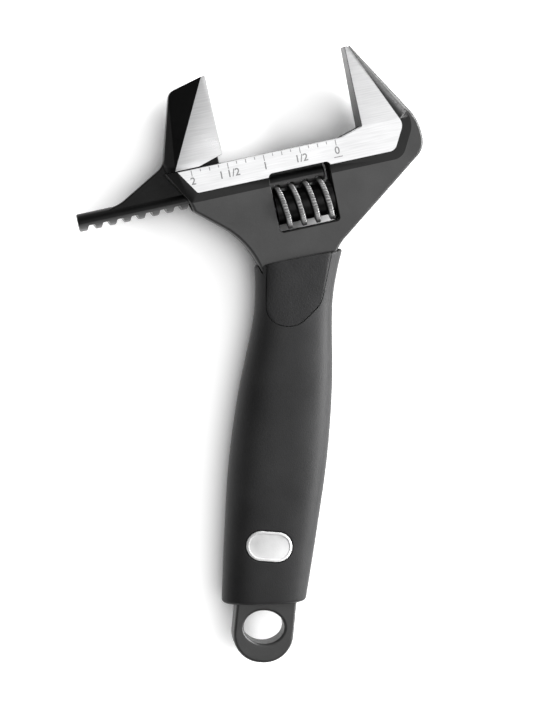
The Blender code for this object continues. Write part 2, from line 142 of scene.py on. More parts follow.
def fillet(radius, steps=4):
    """(inset, drop below the face) pairs of a rounded edge, from the side up to the face."""
    angles = [math.pi / 2 * k / steps for k in range(steps + 1)]
    return [(radius * (1 - math.cos(a)), radius * (1 - math.sin(a))) for a in angles]


# ---------------------------------------------------------------- solids

def new_object(name, bm):
    """An object in the scene from a bmesh, with its faces pointing out."""
    bmesh.ops.remove_doubles(bm, verts=bm.verts, dist=1e-4)
    bmesh.ops.recalc_face_normals(bm, faces=bm.faces)
    mesh = bpy.data.meshes.new(name)
    bm.to_mesh(mesh)
    bm.free()
    obj = bpy.data.objects.new(name, mesh)
    bpy.context.scene.collection.objects.link(obj)
    return obj


def loft(name, rings):
    """A closed solid through rings of equally many 3-D points, capped at both ends."""
    bm = bmesh.new()
    layers = [[bm.verts.new(point) for point in ring] for ring in rings]
    bm.faces.new(layers[0])
    bm.faces.new(reversed(layers[-1]))
    for lower, upper in zip(layers, layers[1:]):
        for i in range(len(lower)):
            j = (i + 1) % len(lower)
            bm.faces.new((lower[i], lower[j], upper[j], upper[i]))
    return new_object(name, bm)


def flat_rings(outlines_and_heights):
    """Rings for loft from flat outlines, each at its height."""
    return [[(p.x, p.y, z) for p in outline] for outline, z in outlines_and_heights]


def prism(name, outline, half):
    """An outline extruded to both sides of the middle plane."""
    return loft(name, flat_rings([(outline, -half), (outline, half)]))


def plate(name, outline, half, radius):
    """A prism whose long edges are rounded."""
    edge = fillet(radius)
    levels = [(inset(outline, d), drop - half) for d, drop in reversed(edge)]
    levels += [(inset(outline, d), half - drop) for d, drop in edge]
    return loft(name, flat_rings(levels))


def flared(name, outline, half, radius, reach=6):
    """A cutter through a plate that leaves the edges of its opening rounded."""
    edge = fillet(radius)
    levels = [(inset(outline, -edge[-1][0]), -half - reach)]
    levels += [(inset(outline, -d), drop - half) for d, drop in reversed(edge)]
    levels += [(inset(outline, -d), half - drop) for d, drop in edge]
    levels += [(inset(outline, -edge[-1][0]), half + reach)]
    return loft(name, flat_rings(levels))


def turned(name, stations, y, sides=64):
    """A round solid along X at a height y, through stations (x, radius)."""
    rings = []
    for x, radius in stations:
        angles = [2 * math.pi * k / sides for k in range(sides)]
        rings.append([(x, y + radius * math.cos(a), radius * math.sin(a)) for a in angles])
    return loft(name, rings)


def hull(name, points):
    """The convex solid round some points."""
    bm = bmesh.new()
    for point in points:
        bm.verts.new(point)
    made = bmesh.ops.convex_hull(bm, input=bm.verts)
    loose = [item for item in made["geom_interior"] if isinstance(item, bmesh.types.BMVert)]
    bmesh.ops.delete(bm, geom=loose, context="VERTS")
    bmesh.ops.dissolve_limit(bm, angle_limit=0.002, verts=bm.verts, edges=bm.edges)
    return new_object(name, bm)


def keep_modifiers(obj):
    """Replace an object's mesh with what its modifiers make of it."""
    graph = bpy.context.evaluated_depsgraph_get()
    mesh = bpy.data.meshes.new_from_object(obj.evaluated_get(graph), depsgraph=graph)
    obj.modifiers.clear()
    obj.data = mesh


def combine(target, tool, operation):
    """Cut, join or intersect the target with a tool, which is used up."""
    modifier = target.modifiers.new(operation, "BOOLEAN")
    modifier.operation = operation
    modifier.object = tool
    modifier.solver = "EXACT"
    keep_modifiers(target)
    bpy.data.objects.remove(tool)


def soften(obj, width, segments=2, angle=28):
    """Round every edge sharper than an angle by a small width."""
    modifier = obj.modifiers.new("edges", "BEVEL")
    modifier.width = width
    modifier.segments = segments
    modifier.limit_method = "ANGLE"
    modifier.angle_limit = math.radians(angle)
    keep_modifiers(obj)


def thinning(y):
    """A jaw's thickness at a height, as a share of its root's."""
    return 1 - (1 - TIP_TAPER) * max(0.0, (y - JAW_ROOT) / (JAW_TOP - JAW_ROOT))


def taper_jaw(obj):
    """Thin a jaw evenly from its root, at the foot of the gripping face, to its tip."""
    bm = bmesh.new()
    bm.from_mesh(obj.data)
    everything = bm.verts[:] + bm.edges[:] + bm.faces[:]
    bmesh.ops.bisect_plane(bm, geom=everything, plane_co=(0, JAW_ROOT, 0), plane_no=(0, 1, 0))
    for vert in bm.verts:
        vert.co.z *= thinning(vert.co.y)
    bm.to_mesh(obj.data)
    bm.free()


# ---------------------------------------------------------------- forged body

def body_outline():
    """The forging's outline, anticlockwise; it overshoots the mouth, which is cut afterwards."""
    left_of_loop, right_of_loop, loop_bottom = -11.9, 9.5, -12.2
    return rounded([
        (0.8, JAW_TOP + 1, 0),
        (-2.0, JAW_TOP + 1, 0),
        (-2.0, 1.3, 0),
        (-9.0, FLOOR + 1, 0),
        (-71.4, FLOOR + 1, 0),
        (-64.6, -11.6, 1.5),
        (-63.3, -16.4, 1.5),
        (-40.0, -36.4, 29.0),
        (*handle_to_head(left_of_loop, loop_bottom), 10.2),
        (*handle_to_head(right_of_loop, loop_bottom), 10.2),
        (*handle_to_head(8.4, 112.0), 10.0),
        (-17.0, -38.4, 14.0),
        (FLANK, -11.5, 7.0),
        (FLANK, -1.8, 18.0),
    ], steps=18)


def mouth_cutter():
    """Everything between and above the jaws, flared a little at both faces."""
    outline = rounded([
        (FIXED_FACE, 0.3, 0.6),
        (FIXED_FACE, JAW_TOP, 0),
        (9, JAW_TOP, 0),
        (9, JAW_TOP + 8, 0),
        (-90, JAW_TOP + 8, 0),
        (-90, FLOOR, 0),
        (-8.5, FLOOR, 0),
    ], steps=6)
    return flared("mouth", outline, LAND_HALF, 0.22)


def land_frustum():
    """The raised land, ground bright on top, whose sides slope down to the forging."""
    top = rounded([
        (0.1, JAW_TOP + 1, 0),
        (-2.0, JAW_TOP + 1, 0),
        (-2.0, 1.3, 0),
        (-9.0, FLOOR + 1, 0),
        (-66.9, FLOOR + 1, 0),
        (-60.9, -10.2, 1.0),
        (9.0, -10.2, 3.0),
        (13.6, -1.8, 4.0),
    ])
    base = rounded([
        (0.2, JAW_TOP + 1, 0),
        (-2.0, JAW_TOP + 1, 0),
        (-2.0, 1.3, 0),
        (-9.0, FLOOR + 1, 0),
        (-70.6, FLOOR + 1, 0),
        (-63.4, -13.5, 1.5),
        (11.6, -13.5, 5.0),
        (18.2, -1.4, 8.0),
    ])
    low = SLAB_HALF - 0.1
    return loft("land", flat_rings([
        (top, -LAND_HALF), (base, -low), (base, low), (top, LAND_HALF)]))


def window_cutter():
    """The worm's window, with rounded edges at both faces."""
    (x0, x1), (y0, y1) = WINDOW_X, WINDOW_Y
    outline = rounded([(x0, y0, 1.2), (x1, y0, 1.2), (x1, y1, 1.2), (x0, y1, 1.2)], steps=8)
    return flared("window", outline, SLAB_HALF, 0.35)


def hang_hole_cutter():
    """The oval hang hole, rounded at both faces."""
    sides = 96
    oval = [Vector(handle_to_head(7.2 * math.cos(a) - 1.3, 5.9 * math.sin(a) + 0.5))
            for a in (2 * math.pi * k / sides for k in range(sides))]
    return flared("hang_hole", oval, TANG_HALF, 1.0)


def thin_tang(obj):
    """Bring everything inside and below the grip down to the tang's thickness, in one short ramp."""
    along = Vector((math.sin(HANDLE_TILT), math.cos(HANDLE_TILT), 0))
    origin = Vector((*HANG_HOLE, 0))
    start, end = 124.0, 119.0
    bm = bmesh.new()
    bm.from_mesh(obj.data)
    for height in (start, end):
        everything = bm.verts[:] + bm.edges[:] + bm.faces[:]
        bmesh.ops.bisect_plane(bm, geom=everything, plane_co=origin + along * height, plane_no=along)
    for vert in bm.verts:
        height = (vert.co - origin).dot(along)
        share = min(1.0, max(0.0, (start - height) / (start - end)))
        vert.co.z *= 1 + (TANG_HALF / SLAB_HALF - 1) * share
    bm.to_mesh(obj.data)
    bm.free()


def make_body():
    """The whole forging: outline, tang, lands, mouth, rack channel, window, bores and hang hole."""
    body = plate("forged_body", body_outline(), SLAB_HALF, 1.1)
    thin_tang(body)
    combine(body, land_frustum(), "UNION")
    combine(body, mouth_cutter(), "DIFFERENCE")
    taper_jaw(body)
    half = WEB_HALF + GAP
    slot = [Vector(p) for p in ((-80, RACK_Y), (-0.8, RACK_Y), (-0.8, 4), (-80, 4))]
    pin_clear = PIN_RADIUS + GAP
    head_clear = PIN_HEAD_RADIUS + 0.4
    pin_bore = [(-42.0, pin_clear), (-1.5, pin_clear), (-1.5, head_clear), (20.0, head_clear)]
    bore = RACK_RADIUS + GAP
    combine(body, turned("bore", [(-80, bore), (40, bore)], RACK_Y), "DIFFERENCE")
    combine(body, prism("slot", slot, half), "DIFFERENCE")
    combine(body, window_cutter(), "DIFFERENCE")
    combine(body, turned("pin_bore", pin_bore, WORM_Y, 48), "DIFFERENCE")
    combine(body, hang_hole_cutter(), "DIFFERENCE")
    return body


def in_window(x, y):
    """Whether a point lies in the worm's window or on the window's rounded edge."""
    edge = 0.4
    (x0, x1), (y0, y1) = WINDOW_X, WINDOW_Y
    return x0 - edge < x < x1 + edge and y0 - edge < y < y1 + edge


def body_finish(centre, normal):
    """A face's finish or painted shade, from its centre and normal, as an index into the body's
    materials.
    """
    skin, ground, inside, slope = range(4)
    x, y, z = centre
    depth = abs(z) / thinning(y)
    in_channel = abs(z) < WEB_HALF + 0.5 and RACK_Y < y < FLOOR - 0.2
    in_bore = math.hypot(y - RACK_Y, z) < RACK_RADIUS + 0.5
    # the window, its rounded rim, the rack channel and the bore take a near-black painted shade
    if in_channel or in_bore or (in_window(x, y) and abs(z) < SLAB_HALF - 0.02):
        return inside
    if abs(normal.z) > 0.93:
        return ground if depth > LAND_HALF - 0.08 else skin
    # the land's sloping sides take a darker copy of the black phosphate: painted shade
    if abs(normal.z) > 0.6 and SLAB_HALF - 0.05 < depth < LAND_HALF - 0.3:
        return slope
    mouth_floor = abs(y - FLOOR) < 0.45 and normal.y > 0.3 and x < 1
    corner = normal.x * normal.y < 0 and -9 < x < -1.5 and FLOOR - 0.1 < y < 1.2
    tip = y > JAW_TOP - 0.4 and normal.y > 0.3
    return ground if mouth_floor or corner or tip else skin


# ---------------------------------------------------------------- sliding jaw

def jaw_plate():
    """The gripping jaw: a ground land on each face and a long slope down to its black back."""
    face = -OPENING
    foot = FLOOR + GAP
    ground = [(face, JAW_TOP), (face - 1.4, JAW_TOP), (-66.9, foot), (face - 8.7, foot), (face, 1.0)]
    back = rounded([
        (face, JAW_TOP, 0),
        (face - 1.4, JAW_TOP, 1.0),
        (-63.1, 25.2, 3.5),
        (-70.1, 1.5, 3.0),
        (-69.9, foot, 0),
        (face - 8.7, foot, 0),
        (face, 1.0, 0),
    ], steps=9)
    points = []
    for side in (-1, 1):
        points += [(x, y, side * LAND_HALF) for x, y in ground]
        points += [(p.x, p.y, side * 3.2) for p in back]
    return hull("sliding_jaw", points)


def jaw_web():
    """The web down to the rack, with the gusset behind the jaw."""
    outline = rounded([
        (-51.2, RACK_Y, 0),
        (-51.2, 2.5, 0),
        (-68.6, 6.0, 0),
        (-70.5, 0.9, 6.0),
        (-86.8, -8.1, 10.0),
        (-92.2, -9.6, 0),
        (-92.2, RACK_Y, 0),
    ], steps=12)
    return plate("web", outline, WEB_HALF, 0.5)


def rack_notches():
    """Prisms that cut the notches between the rack's teeth, along the worm's helix."""
    bm = bmesh.new()
    tip = RACK_Y - RACK_RADIUS
    root = tip + TOOTH_DEPTH
    lean = PITCH / (2 * math.pi * MESH_RADIUS)
    reach = 5.0
    profile = [(-1.95, tip - 1.5), (1.95, tip - 1.5), (1.62, tip + 0.05), (1.15, root - 0.25),
               (0.85, root), (-0.85, root), (-1.15, root - 0.25), (-1.62, tip + 0.05)]
    for k in range(NOTCH_COUNT):
        middle = FIRST_NOTCH + k * PITCH
        ends = []
        for z in (-reach, reach):
            ends.append([bm.verts.new((middle + x + lean * z, y, z)) for x, y in profile])
        bm.faces.new(ends[0])
        bm.faces.new(reversed(ends[1]))
        for i in range(len(profile)):
            j = (i + 1) % len(profile)
            bm.faces.new((ends[0][i], ends[0][j], ends[1][j], ends[1][i]))
    return new_object("notches", bm)


def make_jaw():
    """The sliding jaw, its web and its toothed round rack as one piece."""
    jaw = jaw_plate()
    soften(jaw, 0.25)
    x0, x1 = RACK_X
    r = RACK_RADIUS
    left = [(x0 + drop, r - d) for d, drop in reversed(fillet(0.6))]
    right = [(x1 - drop, r - d) for d, drop in fillet(0.6)]
    rack = turned("rack", left + right, RACK_Y)
    combine(rack, rack_notches(), "DIFFERENCE")
    combine(jaw, jaw_web(), "UNION")
    combine(jaw, rack, "UNION")
    taper_jaw(jaw)
    return jaw


def jaw_finish(centre, normal):
    """A face's finish: 1 ground bright on the lands and the gripping face, else 0."""
    if abs(normal.z) > 0.9:
        return int(abs(centre.z) / thinning(centre.y) > LAND_HALF - 0.08)
    return int(centre.x > -OPENING - 0.3 and centre.y > 0.8 and normal.x > 0.3)


# ---------------------------------------------------------------- worm, pin and spring

def make_worm():
    """The screw: a right-hand thread with knurled ridges, drilled for its pin and spring."""
    per_groove, grooves, turns = 6, 44, 8
    sides = per_groove * grooves
    depths = (0.0, 0.0, 0.12, 0.3, 0.12, 0.0)  # of the knurl, across one groove
    first = FIRST_NOTCH + 11 * PITCH           # a ridge that starts left of the worm's end
    # one turn's profile: (along the worm, height over the core, share of the knurl's depth)
    profile = [(-1.3, 0.0, 0), (-1.12, 0.35, 0), (-0.86, 1.65, 0.5), (-0.7, 1.92, 1), (-0.5, 2.0, 1),
               (0.5, 2.0, 1), (0.7, 1.92, 1), (0.86, 1.65, 0.5), (1.12, 0.35, 0), (1.3, 0.0, 0)]
    bm = bmesh.new()
    rows = []
    for turn in range(turns):
        for x, rise, knurl in profile:
            row = []
            for k in range(sides):
                a = 2 * math.pi * k / sides
                at = first + x + PITCH * (turn + k / sides)
                radius = WORM_CORE + rise - knurl * depths[k % per_groove]
                row.append(bm.verts.new((at, WORM_Y + radius * math.cos(a), radius * math.sin(a))))
            rows.append(row)
    step = len(profile)
    for i in range(len(rows) - 1):
        for k in range(sides - 1):
            bm.faces.new((rows[i][k], rows[i][k + 1], rows[i + 1][k + 1], rows[i + 1][k]))
        if i + step + 1 < len(rows):
            bm.faces.new((rows[i][-1], rows[i + step][0], rows[i + step + 1][0], rows[i + 1][-1]))
    for x, normal in ((WORM_X[0], -1), (WORM_X[1], 1)):
        everything = bm.verts[:] + bm.edges[:] + bm.faces[:]
        cut = bmesh.ops.bisect_plane(bm, geom=everything, plane_co=(x, 0, 0),
                                     plane_no=(normal, 0, 0), clear_outer=True)
        rim = [item for item in cut["geom_cut"] if isinstance(item, bmesh.types.BMEdge)]
        bmesh.ops.edgenet_fill(bm, edges=rim)
    worm = new_object("knurled_worm", bm)
    x0, x1 = WORM_X
    trim = [(x0 - 1, WORM_RADIUS - 1.9), (x0 + 0.9, WORM_RADIUS), (x0 + 1.0, WORM_RADIUS + 1),
            (x1 - 1.0, WORM_RADIUS + 1), (x1 - 0.9, WORM_RADIUS), (x1 + 1, WORM_RADIUS - 1.9)]
    combine(worm, turned("trim", trim, WORM_Y, 96), "INTERSECT")
    radius = PIN_RADIUS + GAP
    wide = SPRING_RADIUS + SPRING_WIRE + 0.4
    drill = [(x0 - 2, wide), (x0 + COUNTERBORE, wide), (x0 + COUNTERBORE, radius), (x1 + 2, radius)]
    combine(worm, turned("drill", drill, WORM_Y, 48), "DIFFERENCE")
    return worm


def make_pin():
    """The worm's pin, with a slotted head in the right flank."""
    r, head = PIN_RADIUS, PIN_HEAD_RADIUS
    stations = [(-41.6, r - 0.5), (-41.4, r - 0.15), (-41.1, r), (-1.2, r), (-1.2, head)]
    stations += [(1.8 - drop, head - d) for d, drop in fillet(0.5)]
    pin = turned("worm_axle_pin", stations, WORM_Y, 48)
    x0, x1, half = 0.8, 3.0, 0.45
    slot = [Vector(p) for p in ((x0, WORM_Y - 4), (x1, WORM_Y - 4), (x1, WORM_Y + 4), (x0, WORM_Y + 4))]
    combine(pin, prism("driver_slot", slot, half), "DIFFERENCE")
    return pin


def make_spring():
    """A round-wire compression spring in the worm's counterbore."""
    wire_sides, per_turn = 12, 40
    x0 = WINDOW_X[0] + 0.2 + SPRING_WIRE
    x1 = WORM_X[0] + COUNTERBORE - GAP - SPRING_WIRE
    count = per_turn * SPRING_TURNS
    slope = (x1 - x0) / (2 * math.pi * SPRING_TURNS)
    rings = []
    for k in range(count + 1):
        a = 2 * math.pi * k / per_turn
        outwards = Vector((0, math.cos(a), math.sin(a)))
        along = Vector((slope, -SPRING_RADIUS * math.sin(a), SPRING_RADIUS * math.cos(a))).normalized()
        across = along.cross(outwards)
        centre = Vector((x0 + (x1 - x0) * k / count, WORM_Y, 0)) + outwards * SPRING_RADIUS
        turns = [2 * math.pi * j / wire_sides for j in range(wire_sides)]
        rings.append([centre + (outwards * math.cos(b) + across * math.sin(b)) * SPRING_WIRE
                      for b in turns])
    return loft("worm_coil_spring", rings)


# ---------------------------------------------------------------- grip

# (distance from the hang hole, half width, half thickness) along the handle
GRIP_STATIONS = ((8.0, 14.7, 8.0), (35.0, 16.2, 9.2), (60.0, 17.1, 9.8), (85.0, 16.2, 9.3),
                 (112.0, 13.5, 7.8), (124.0, 14.0, 8.0), (134.0, 15.6, 8.4))
GRIP_MIDDLE = -1.9             # the grip's middle line, beside the hang hole's
GRIP_ENDS = ((9.2, 0.11), (130.9, 0.30))    # height of each end on the middle line, and its slope
GRIP_POWER = 2.5


def along_grip(y, column):
    """Half width (column 1) or half thickness (column 2) of the grip at a height, smoothly."""
    stations = GRIP_STATIONS
    y = min(max(y, stations[0][0]), stations[-1][0])
    i = max(k for k in range(len(stations) - 1) if stations[k][0] <= y)
    slopes = []
    for k in (i, i + 1):
        a, b = stations[max(k - 1, 0)], stations[min(k + 1, len(stations) - 1)]
        slopes.append((b[column] - a[column]) / (b[0] - a[0]))
    span = stations[i + 1][0] - stations[i][0]
    t = (y - stations[i][0]) / span
    return ((2 * t ** 3 - 3 * t ** 2 + 1) * stations[i][column]
            + (t ** 3 - 2 * t ** 2 + t) * span * slopes[0]
            + (3 * t ** 2 - 2 * t ** 3) * stations[i + 1][column]
            + (t ** 3 - t ** 2) * span * slopes[1])


def grip_section(y, slope, shrink, sides=112):
    """One closed section of the grip, a superellipse, on a plane tipped by a slope."""
    width = along_grip(y, 1) - shrink
    depth = along_grip(y, 2) - shrink
    ring = []
    for k in range(sides):
        a = 2 * math.pi * k / sides
        c, s = math.cos(a), math.sin(a)
        x = width * math.copysign(abs(c) ** (2 / GRIP_POWER), c)
        z = depth * math.copysign(abs(s) ** (2 / GRIP_POWER), s)
        ring.append((GRIP_MIDDLE + x, y + slope * x, z))
    return ring


def grip_solid(name, shrink, overrun=0.0, edge=1.2, rows=60):
    """The whole grip's volume, made smaller by shrink all round, with rounded ends."""
    (y0, slope0), (y1, slope1) = GRIP_ENDS
    y0 -= overrun
    y1 += overrun
    rounding = fillet(edge, 5)
    stations = [(y0 + drop, d) for d, drop in reversed(rounding)]
    stations += [(y0 + (y1 - y0) * k / rows, 0) for k in range(1, rows)]
    stations += [(y1 - drop, d) for d, drop in rounding]
    rings = []
    for y, extra in stations:
        share = (y - y0) / (y1 - y0)
        rings.append(grip_section(y, slope0 + (slope1 - slope0) * share, shrink + extra))
    return loft(name, rings)


def grip_face(point):
    """Height of the grip's upper face over a point of the handle's plane."""
    reach = min(0.98, abs((point.x - GRIP_MIDDLE) / along_grip(point.y, 1)))
    return along_grip(point.y, 2) * (1 - reach ** GRIP_POWER) ** (1 / GRIP_POWER)


def tongue():
    """The thumb rest's outline, open towards the head."""
    return rounded([
        (GRIP_MIDDLE - 9.6, 107.0, 6.4),
        (GRIP_MIDDLE + 0.9, 107.0, 8.0),
        (GRIP_MIDDLE + 8.7, 116.0, 9.0),
        (GRIP_MIDDLE + 11.0, 139.5, 0),
        (GRIP_MIDDLE - 12.3, 139.5, 0),
    ], steps=16)


def split_long_sides(outline, longest=1.0):
    """The outline with extra points, so that no side is longer than a length."""
    points = []
    for i, point in enumerate(outline):
        after = outline[(i + 1) % len(outline)]
        count = max(1, math.ceil((after - point).length / longest))
        points += [point.lerp(after, k / count) for k in range(count)]
    return points


def over_face(name, side, levels):
    """A solid through rings (outline, lift), each lifted by that much from the grip's face."""
    return loft(name, [[(p.x, p.y, side * (grip_face(p) + lift)) for p in outline]
                       for outline, lift in levels])


def tang_space(name):
    """The body's neck and tang with clearance, in the handle's plane."""
    space = plate(name, inset(body_outline(), -GAP), SLAB_HALF + GAP, 0.9)
    thin_tang(space)
    space.data.transform(Matrix.Translation((-HANG_HOLE[0], -HANG_HOLE[1], 0)))
    space.data.transform(Matrix.Rotation(HANDLE_TILT, 4, "Z"))
    return space


def thumb_pad(side):
    """The dished thumb rest on one face of the grip's hard core."""
    outline = split_long_sides(inset(tongue(), -0.15))
    centre = Vector((GRIP_MIDDLE - 0.2, 124.0))
    levels = [(outline, -6.0)]
    levels += [(inset(outline, d), -0.12 - drop) for d, drop in fillet(0.15, 2)]
    for scale in (0.92, 0.82, 0.7, 0.56, 0.4, 0.22, 0.1):
        ring = [centre + (p - centre) * scale for p in outline]
        levels.append((ring, -0.12 - 1.1 * (1 - scale ** 2)))
    return over_face("pad", side, levels)


def make_grip_core():
    """The grip's hard core with a thumb rest on each face, hollow for the tang."""
    core = grip_solid("grip_hard_core", COVER + GAP)
    for side in (1, -1):
        pad = grip_solid("pad_limits", 0.08, overrun=-0.06)
        combine(pad, thumb_pad(side), "INTERSECT")
        combine(core, pad, "UNION")
    combine(core, tang_space("tang_space"), "DIFFERENCE")
    return core


def make_grip_cover():
    """The grip's soft cover, open over the thumb rests and sunk for the badges."""
    cover = grip_solid("grip_soft_cover", 0)
    combine(cover, grip_solid("core_space", COVER, overrun=3.0), "DIFFERENCE")
    combine(cover, tang_space("tang_space"), "DIFFERENCE")
    length, width = BADGE_SIZE
    for side in (1, -1):
        rest = split_long_sides(inset(tongue(), -GAP))
        lip = [(inset(rest, -d), -drop) for d, drop in fillet(0.15, 2)]
        levels = [(rest, -5.0), *lip, (lip[-1][0], 3.0)]
        combine(cover, over_face("rest", side, levels), "DIFFERENCE")
        pocket = split_long_sides(capsule(BADGE, length + 2 * GAP, width + 2 * GAP), 0.5)
        lip = [(inset(pocket, -d), -drop) for d, drop in fillet(0.35, 3)]
        levels = [(pocket, -1.1), *lip, (lip[-1][0], 3.0)]
        combine(cover, over_face("pocket", side, levels), "DIFFERENCE")
    return cover


def collar_shade_faces(centre, normal):
    """1 on the end of the grip that faces the head, painted near-black as shade, else 0."""
    return int(centre.y > GRIP_ENDS[1][0] - 4 and normal.y > 0.3)


def make_badge(name, side):
    """A plain capsule with a low rim round a sunk panel."""
    outline = split_long_sides(capsule(BADGE, *BADGE_SIZE), 0.5)
    levels = [(outline, -0.8)]
    levels += [(inset(outline, d), 0.1 - drop) for d, drop in fillet(0.25, 3)]
    levels += [(inset(outline, d), lift) for d, lift in ((0.75, 0.1), (0.95, -0.05), (1.1, -0.08))]
    panel, panel_lift = levels[-1]
    centre = Vector(BADGE)
    for share in (0.7, 0.4, 0.1):
        levels.append(([centre + (p - centre) * share for p in panel], panel_lift))
    return over_face(name, side, levels)


# ---------------------------------------------------------------- etched scale

def make_scale():
    """The opening scale in inches, etched on the strip: ticks, numbers and a line under zero."""
    low, high = LAND_HALF - 0.05, LAND_HALF + 0.012
    zero = -10.8
    tick_top = FLOOR - 0.4
    tick_half = 0.14
    numbers_y = -6.1
    bm = bmesh.new()

    def mark(x0, x1, y0, y1):
        """One thin box, from corner to corner."""
        corners = [bm.verts.new((x, y, z)) for z in (low, high)
                   for x, y in ((x0, y0), (x1, y0), (x1, y1), (x0, y1))]
        bm.faces.new(reversed(corners[:4]))
        bm.faces.new(corners[4:])
        for i in range(4):
            j = (i + 1) % 4
            bm.faces.new([corners[k] for k in (i, j, j + 4, i + 4)])

    for k in range(17):
        x = zero - k * INCH / 8
        length = 2.0 if k % 4 == 0 else 1.3 if k % 2 == 0 else 0.9
        mark(x - tick_half, x + tick_half, tick_top - length, tick_top)
    mark(zero - 1.5, zero + 1.5, -8.4, -8.1)
    scale = new_object("opening_scale", bm)
    for k, text in enumerate(("0", "1/2", "1", "1 1/2", "2")):
        curve = bpy.data.curves.new("digits", "FONT")
        curve.body = text
        curve.size = 3.6
        curve.offset = 0.05
        curve.align_x = "CENTER"
        curve.align_y = "CENTER"
        curve.extrude = (high - low) / 2
        digits = bpy.data.objects.new("digits", curve)
        bpy.context.scene.collection.objects.link(digits)
        graph = bpy.context.evaluated_depsgraph_get()
        mesh = bpy.data.meshes.new_from_object(digits.evaluated_get(graph), depsgraph=graph)
        mesh.transform(Matrix.Translation((zero - k * INCH / 2, numbers_y, (low + high) / 2)))
        bm = bmesh.new()
        bm.from_mesh(scale.data)
        bm.from_mesh(mesh)
        bmesh.ops.remove_doubles(bm, verts=bm.verts, dist=1e-4)
        bm.to_mesh(scale.data)
        bm.free()
        bpy.data.objects.remove(digits)
    return scale


# ---------------------------------------------------------------- materials

def new_material(name, colour, roughness, metallic=0.0):
    """A node material with its tree and its main shader."""
    material = bpy.data.materials.new(name)
    material.use_nodes = True
    shader = material.node_tree.nodes["Principled BSDF"]
    shader.inputs["Base Color"].default_value = (*colour, 1)
    shader.inputs["Roughness"].default_value = roughness
    shader.inputs["Metallic"].default_value = metallic
    return material, material.node_tree, shader


def grain(tree, scale, stretch=(1, 1, 1), detail=3.0, kind="ShaderNodeTexNoise"):
    """A noise or cell texture in the piece's own metres; gives back its value."""
    place = tree.nodes.new("ShaderNodeTexCoord")
    mapping = tree.nodes.new("ShaderNodeMapping")
    mapping.inputs["Scale"].default_value = stretch
    texture = tree.nodes.new(kind)
    texture.inputs["Scale"].default_value = scale
    if "Detail" in texture.inputs:
        texture.inputs["Detail"].default_value = detail
    tree.links.new(place.outputs["Object"], mapping.inputs["Vector"])
    tree.links.new(mapping.outputs["Vector"], texture.inputs["Vector"])
    return texture.outputs[0]


def spread(tree, value, low, high, start=0.3, end=0.7):
    """The value remapped so that start gives low and end gives high."""
    remap = tree.nodes.new("ShaderNodeMapRange")
    for name, number in (("From Min", start), ("From Max", end), ("To Min", low), ("To Max", high)):
        remap.inputs[name].default_value = number
    tree.links.new(value, remap.inputs["Value"])
    return remap.outputs["Result"]


def blend_colours(tree, share, first, second):
    """A colour between two, by a share; either may be a colour or a socket."""
    mix = tree.nodes.new("ShaderNodeMix")
    mix.data_type = "RGBA"
    tree.links.new(share, mix.inputs[0])
    for socket, colour in ((mix.inputs[6], first), (mix.inputs[7], second)):
        if isinstance(colour, tuple):
            socket.default_value = (*colour, 1)
        else:
            tree.links.new(colour, socket)
    return mix.outputs[2]


def relief(tree, height, depth, strength=1.0, below=None):
    """Bump of a depth in metres; below is a bump that it lies on."""
    bump = tree.nodes.new("ShaderNodeBump")
    bump.inputs["Strength"].default_value = strength
    bump.inputs["Distance"].default_value = depth
    tree.links.new(height, bump.inputs["Height"])
    if below:
        tree.links.new(below, bump.inputs["Normal"])
    return bump.outputs["Normal"]


def forged_black(name, tone):
    """Satin black phosphate over a forged skin, of a mean tone."""
    material, tree, shader = new_material(name, (tone,) * 3, 0.42, 0.75)
    cloud = grain(tree, 60, detail=5)
    speckle = grain(tree, 2600, detail=2)
    colour = blend_colours(tree, spread(tree, cloud, 0, 1), (0.88 * tone,) * 3, (1.12 * tone,) * 3)
    tree.links.new(colour, shader.inputs["Base Color"])
    tree.links.new(spread(tree, speckle, 0.36, 0.48), shader.inputs["Roughness"])
    skin = relief(tree, grain(tree, 420, detail=4), 0.00006, 0.6)
    tree.links.new(relief(tree, speckle, 0.00003, 0.7, skin), shader.inputs["Normal"])
    return material


def ground_bright():
    """Surface-ground steel, with fine grinding lines along the strip."""
    material, tree, shader = new_material("ground_steel", (0.62, 0.62, 0.63), 0.3, 1.0)
    lines = grain(tree, 2600, (0.04, 1, 1), detail=6)
    cloud = grain(tree, 70, detail=4)
    colour = blend_colours(tree, spread(tree, lines, 0, 1), (0.57, 0.57, 0.575), (0.67, 0.67, 0.675))
    tree.links.new(colour, shader.inputs["Base Color"])
    tree.links.new(spread(tree, cloud, 0.26, 0.38), shader.inputs["Roughness"])
    tree.links.new(relief(tree, lines, 0.00002, 0.5), shader.inputs["Normal"])
    return material


def on_teeth(tree):
    """1 on the lower side of the rack, where its teeth are, and 0 above."""
    line = (HEAD @ Vector((0, RACK_Y - 0.9, 0))).y
    split = tree.nodes.new("ShaderNodeSeparateXYZ")
    tree.links.new(tree.nodes.new("ShaderNodeTexCoord").outputs["Object"], split.inputs[0])
    return spread(tree, split.outputs[1], 1, 0, line - 0.5 * MM, line + 0.6 * MM)


def ridge_wear_and_highlight(tree):
    """1 on the worm's ridges and 0 down at its core; the ridges' lighter tone is partly rubbed wear and
    partly painted highlight, and the near-black core is painted shade.
    """
    axis = HEAD @ Vector((0, WORM_Y, 0))
    value = tree.nodes.new("ShaderNodeTexCoord").outputs["Object"]
    for operation, other in (("SUBTRACT", axis), ("MULTIPLY", (0, 1, 1)), ("LENGTH", None)):
        step = tree.nodes.new("ShaderNodeVectorMath")
        step.operation = operation
        tree.links.new(value, step.inputs[0])
        if other:
            step.inputs[1].default_value = other
        value = step.outputs["Value" if operation == "LENGTH" else "Vector"]
    return spread(tree, value, 0, 1, (WORM_RADIUS - 0.7) * MM, (WORM_RADIUS - 0.15) * MM)


